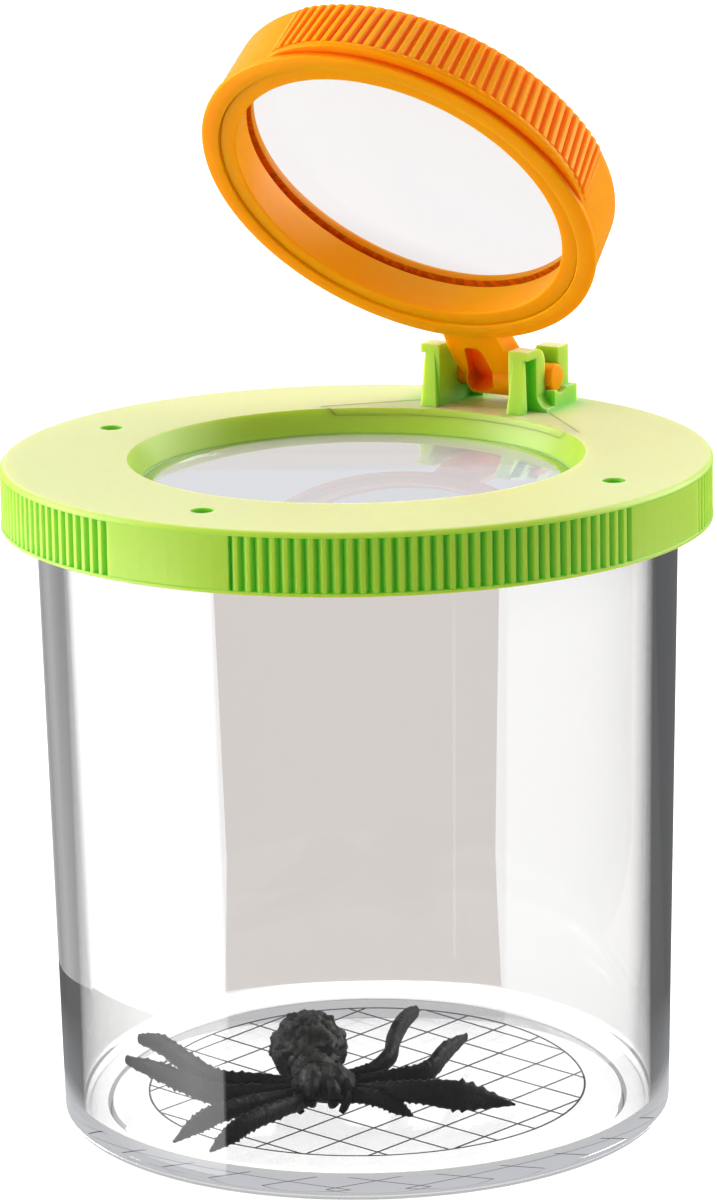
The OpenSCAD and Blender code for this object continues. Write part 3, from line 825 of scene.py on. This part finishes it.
def make_arm(m):
    """Arm with its pocket, the knuckle and both trunnions"""
    z0, z1 = RING_Z + 0.78, RING_Z + 3.0
    plan = [(-3.0, 19.95, 0), (3.0, 19.95, 0), (3.5, 25.8, 1.5), (2.6, PIN_Y, 0),
            (-2.6, PIN_Y, 0), (-3.5, 25.8, 1.5)]
    arm = mesh_object("magnifier_arm", *prism(rounded(plan, 5), z0, z1), m["orange"])
    knuckle = rod(radius=2.3, start=-2.6, end=2.6, corner=0.1, steps=3)
    combine(arm, mesh_object("knuckle", *knuckle, m["orange"]), "UNION")
    # The pocket's outline from the hinge's axis, in shares of the arm's size
    width, length, pocket_depth = 7, 8.15, 1.3
    shares = [(-0.19, -0.67), (0, -0.68), (0.055, -0.63), (0.08, -0.55),
              (0.08, -0.06), (0.06, -0.02), (-0.09, 0.05), (-0.26, 0.08),
              (-0.32, 0.05), (-0.35, -0.02), (-0.35, -0.13), (-0.28, -0.37),
              (-0.22, -0.62)]
    pocket = prism([(x * width, PIN_Y + y * length) for x, y in shares],
                   z0 - 3, z0 + pocket_depth)
    combine(arm, mesh_object("pocket", *pocket, m["orange"]), "DIFFERENCE")
    for vertex in arm.data.vertices:
        vertex.co = OPEN_TURN @ (vertex.co * MM)
    shade_smooth(arm.data, 32)
    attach(arm, "magnifier")
    mod = arm.modifiers.new("edges", "BEVEL")
    mod.width = 0.16 * MM
    mod.segments = 3
    mod.limit_method = "ANGLE"
    mod.angle_limit = math.radians(32)

    # One trunnion on each side of the pocket
    verts, faces = joined([rod(radius=1.45, start=start, end=end, corner=0.3, steps=4)
                           for start, end in ((-6.9, -2.5), (0.62, 6.9))])
    piece("magnifier_trunnions", verts, faces, "magnifier", m["orange"],
          move=OPEN_TURN)


# The spider, in millimetres from its own middle, with the grid at 0

# Each leg: points from the body out, half heights along it, its width as a share of its
# height, and the number of its teeth
LEGS = [
    # Left side: two raised legs, then two that reach down to the grid
    ([(-2.0, -0.4, 2.6), (-6.2, -0.2, 2.9), (-10.4, 0.1, 3.1), (-13.7, 3, 4.1),
      (-16.3, 6.7, 4.6), (-19.2, 13.1, 3.1)],
     [0.8, 0.95, 1.15, 1.15, 1.0, 0.5], 0.55, 24),
    ([(-2.0, -0.8, 2.1), (-6.2, -1.8, 2.4), (-10.3, -2.5, 2.6), (-13.3, -0.7, 3.1),
      (-16.4, 1.8, 3.6), (-20.1, 8.2, 2.6)],
     [0.8, 0.9, 1.05, 1.1, 0.95, 0.45], 0.55, 24),
    ([(-1.8, -1.8, 2.1), (-6.0, -5.2, 2.6), (-9.7, -8, 2.6), (-11.9, -8.6, 1.7),
      (-14.2, -9.7, 0.25)],
     [0.8, 0.9, 1.0, 0.95, 0.12], 0.6, 17),
    ([(-1.4, -3.2, 2.1), (-4.2, -7.6, 2.6), (-6.9, -10.7, 2.5), (-8.7, -11.8, 1.6),
      (-10.6, -12.7, 0.25)],
     [0.8, 0.9, 1.0, 0.95, 0.12], 0.6, 17),
    # Right side: two that reach back, then two broad ones
    ([(1.6, 1.2, 2.6), (4.8, 2.0, 3.1), (6.8, 4.3, 3.9), (7.2, 8.5, 4.1),
      (8.1, 13.7, 4.1), (9.5, 20.9, 2.8)],
     [0.8, 0.85, 0.95, 1.0, 0.95, 0.6], 0.8, 30),
    ([(2.0, 0.8, 2.1), (6.4, 1.0, 2.7), (10.4, 1.8, 3.1), (12.4, 6.5, 3.5),
      (14.7, 16.2, 1.7)],
     [0.8, 0.85, 1.0, 0.95, 0.35], 0.7, 24),
    ([(2.0, -1.2, 2.1), (5.8, -2.8, 2.7), (9.4, -3.9, 3.0), (13.9, -3, 2.2),
      (19.2, -0.1, 0.25)],
     [0.8, 0.9, 1.15, 1.4, 0.1], 0.5, 22),
    ([(1.6, -2.0, 2.0), (3.6, -3.0, 2.4), (5.8, -3.6, 2.2), (7.6, -3.7, 1.3),
      (9.0, -3.2, 0.25)],
     [0.75, 0.8, 0.85, 0.7, 0.1], 0.6, 12),
]
# Each part of the body: centre, half sizes and roughness. They are the waist, the
# shield over the front, the two halves of the head, and a knob on each side of them
BODY = [
    ((-0.9, 1.6, 3.5), (2.2, 2.2, 1.9), 0.1),
    ((0.4, -0.6, 2.9), (3.0, 2.6, 1.9), 0.04),
    ((-1.0, -1.6, 3.3), (1.35, 2.3, 1.75), 0.1),
    ((1.5, -1.2, 3.4), (1.25, 2.0, 1.5), 0.1),
    ((2.6, -2.5, 2.9), (0.75, 0.8, 1.1), 0.03),
    ((-2.2, -0.8, 2.6), (1.0, 1.2, 1.2), 0.03),
]
# No point is lower, so that none reaches into the grid
LOWEST = 0.02
LOWEST_TIP = 0.03
# Where it lies in the jar, and how far it is turned with that, in degrees
SPIDER_AT = (-4.4, -8.8, 2.38)
SPIDER_TURN = 30


def spline(points, t):
    """Point on a smooth curve through the points, t from 0 to 1"""
    n = len(points) - 1
    x = t * n
    i = min(int(x), n - 1)
    u = x - i
    p0, p1, p2, p3 = (Vector(points[min(max(i + k, 0), n)]) for k in (-1, 0, 1, 2))
    return 0.5 * ((2 * p1) + (p2 - p0) * u + (2 * p0 - 5 * p1 + 4 * p2 - p3) * u * u
                  + (3 * p1 - p0 - 3 * p2 + p3) * u * u * u)


def limb(points, radii, flat, teeth, rnd, steps=64):
    """Leg along a curve: a flattened blade with small teeth on its edges"""
    around = 14
    verts, rows = [], []
    # Four are drawn, and the teeth of the upper and lower edge start at the first two
    phase = [rnd.uniform(0, 1) for _ in range(4)]
    for i in range(steps + 1):
        t = i / steps
        p = spline(points, t)
        ahead = spline(points, min(1, t + 0.01)) - spline(points, max(0, t - 0.01))
        ahead.normalize()
        side = ahead.cross(Vector((0, 0, 1))).normalized()
        up = side.cross(ahead).normalized()
        tall = spline([(r, 0, 0) for r in radii], t).x
        if i == 0:
            tall *= 0.9
        rows.append(range(len(verts), len(verts) + around))
        for k in range(around):
            a = 2 * math.pi * k / around
            # Teeth on the upper and lower edge, rough skin, and a crease down one side
            edge = abs(math.sin(a)) ** 3
            saw = (t * teeth + phase[0 if math.sin(a) > 0 else 1]) % 1.0
            spike = max(0.0, 1 - saw * 2.2) * edge
            grow = 1 + 0.3 * spike * min(1.0, 4 * t) + rnd.uniform(-0.035, 0.035)
            crease = 1 - 0.22 * math.exp(-((math.cos(a) - 1) / 0.12) ** 2)
            q = p + side * (math.cos(a) * tall * flat * crease) \
                + up * (math.sin(a) * tall * grow)
            q.z = max(q.z, LOWEST)
            verts.append(tuple(q))
    faces = skin(rows, closed=False)
    # Both ends close in a point, and look away from each other
    for row, t in ((rows[0], 0.0), (rows[-1], 1.0)):
        tip = spline(points, t)
        tip.z = max(tip.z, LOWEST_TIP)
        for k in range(around):
            a, b = row[k], row[(k + 1) % around]
            faces.append((a, b, len(verts)) if t else (b, a, len(verts)))
        verts.append(tuple(tip))
    return verts, faces


def direction(a, b):
    """Unit vector by its angle round the upright axis and its angle above the level"""
    return Vector((math.cos(a) * math.cos(b), math.sin(a) * math.cos(b), math.sin(b)))


def blob(centre, axes, lumps, rough, around=40, rise=26):
    """Ellipsoid with lumps: each lump has a direction, a reach and a width"""
    verts, rows = [], []
    for j in range(rise + 1):
        b = -math.pi / 2 + math.pi * j / rise
        count = 1 if j in (0, rise) else around
        rows.append(range(len(verts), len(verts) + count))
        for k in range(count):
            d = direction(2 * math.pi * k / around, b)
            # Coarse and finer roughness
            r = 1.0 + rough * noise.noise(d * 5.0) + rough * 0.6 * noise.noise(d * 13.0)
            for way, reach, width in lumps:
                gap = (d - way).length
                r += reach * math.exp(-(gap / width) ** 2)
            q = Vector((d.x * axes[0] * r, d.y * axes[1] * r, d.z * axes[2] * r))
            q += Vector(centre)
            q.z = max(q.z, LOWEST)
            verts.append(tuple(q))
    return verts, skin(rows, closed=False)


def abdomen():
    """An upright dome with a knobbly crown and ridges down its sides"""
    lumps = []
    # Two rings of knobs: their number, first angle, direction, reach and width
    for count, shift, out, up, reach, width in ((9, 0.3, 0.62, 0.78, 0.15, 0.17),
                                                (5, 0.0, 0.25, 0.97, 0.11, 0.15)):
        for k in range(count):
            a = 2 * math.pi * k / count + shift
            way = Vector((math.cos(a) * out, math.sin(a) * out, up))
            lumps.append((way, reach, width))
    ridges = 11
    for k in range(ridges):
        a = 2 * math.pi * (k + 0.5) / ridges
        for b in (0.35, 0.0):
            lumps.append((direction(a, b), 0.085, 0.14))
    return blob((-1.4, 5.6, 4.2), (3.75, 4.2, 3.45), lumps, rough=0.08,
                around=96, rise=60)


def make_spider(m):
    rnd = random.Random(7)
    parts = [limb(*leg, rnd) for leg in LEGS]
    parts.append(abdomen())
    parts += [blob(centre, axes, [], rough) for centre, axes, rough in BODY]
    # Fangs that curl down from the head
    for x, y in ((-0.9, -3.4), (1.1, -3.9)):
        parts.append(limb([(x * 0.8, -2.2, 3.4), (x, y, 3.2), (x * 1.05, y - 0.3, 2.3),
                           (x * 0.8, y + 0.4, 1.5)],
                          [0.8, 0.95, 0.75, 0.3], 0.85, 0.0, rnd, steps=20))
    # Feelers beside the fangs
    for sign in (-1, 1):
        parts.append(limb([(sign * 1.6, -2.0, 2.4), (sign * 2.5, -3.2, 2.4),
                           (sign * 2.3, -4.0, 1.7), (sign * 1.9, -4.3, 1.1)],
                          [0.55, 0.6, 0.5, 0.3], 0.8, 6, rnd, steps=24))
    verts, faces = joined(parts)
    turn = Matrix.Rotation(math.radians(SPIDER_TURN), 4, "Z")
    dx, dy, dz = SPIDER_AT
    placed = []
    for x, y, z in verts:
        p = turn @ Vector((x + dx, y + dy, z))
        placed.append((p.x, p.y, p.z + dz))
    piece("spider_figure", placed, faces, "spider", m["spider"],
          smooth=50, replaces=("toy_spider",))


def make_grid(m):
    """Printed grid of 5 mm squares in a circle, as thin ink lines on the floor"""
    radius, pitch, line, height = 22.3, 5, 0.2, 0.04
    # Three heights, so that no two upper faces lie in one plane where lines cross
    top, across, round_top = (JAR_FLOOR + height, JAR_FLOOR + height * 0.97,
                              JAR_FLOOR + height * 1.03)
    parts = []
    for i in range(-4, 5):
        middle = i * pitch
        low, high = middle - line / 2, middle + line / 2
        end = math.sqrt((radius - line / 2) ** 2 - middle * middle)
        parts.append(prism([(low, -end), (high, -end), (high, end), (low, end)],
                           JAR_FLOOR, top))
        parts.append(prism([(-end, low), (end, low), (end, high), (-end, high)],
                           JAR_FLOOR, across))
    parts.append(revolve([(radius, JAR_FLOOR), (radius, round_top),
                          (radius - line, round_top), (radius - line, JAR_FLOOR)], 192))
    verts, faces = joined(parts)
    turn = Matrix.Rotation(math.radians(GRID_TURN), 4, "Z")
    piece("grid_lines", verts, faces, "jar", m["ink"], smooth=30,
          move=turn, replaces=("measuring_grid",))


def make_lid(m):
    """The lid keeps its CAD shape; the hollow before its posts is filled up to just
    below the top, because the photograph shows it very shallow"""
    data = nodes["lid"].data
    data.materials.clear()
    data.materials.append(m["green"])
    # The arc along the recess's sloping edge: its height and radius just under the
    # hollow's floor and just below the lid's top. Its ends are tucked into the lid
    arcs = ((LID_TOP - 0.75, 22.327), (LID_TOP - 0.04, 22.68))
    steps, start, end, tuck = 48, 53, 127, 0.02
    # The other corners lie inside the lid and its posts' base plate
    corners = ((-16, 18.6), (-8.5, 26.6), (8.5, 26.6), (16, 18.6))
    verts = []
    for z, radius in arcs:
        for k in range(steps + 1):
            a = math.radians(start + (end - start) * k / steps)
            r = radius + tuck if k in (0, steps) else radius
            verts.append((r * math.cos(a), r * math.sin(a), z))
        verts += [(x, y, z) for x, y in corners]
    n = len(verts) // 2
    faces = [tuple(range(n)), tuple(range(2 * n - 1, n - 1, -1))]
    for k in range(n):
        l = (k + 1) % n
        faces.append((l, k, n + k, n + l))
    piece("lid_hollow_floor", verts, faces, "cover", m["green"])


scene.view_settings.view_transform = "Standard"
make_camera()
make_world()
make_floor()
mats = make_materials()
make_lid(mats)
make_grid(mats)
make_beaker(mats)
make_lenses(mats)
make_ring(mats)
make_arm(mats)
make_spider(mats)
make_lights()
make_reflections()
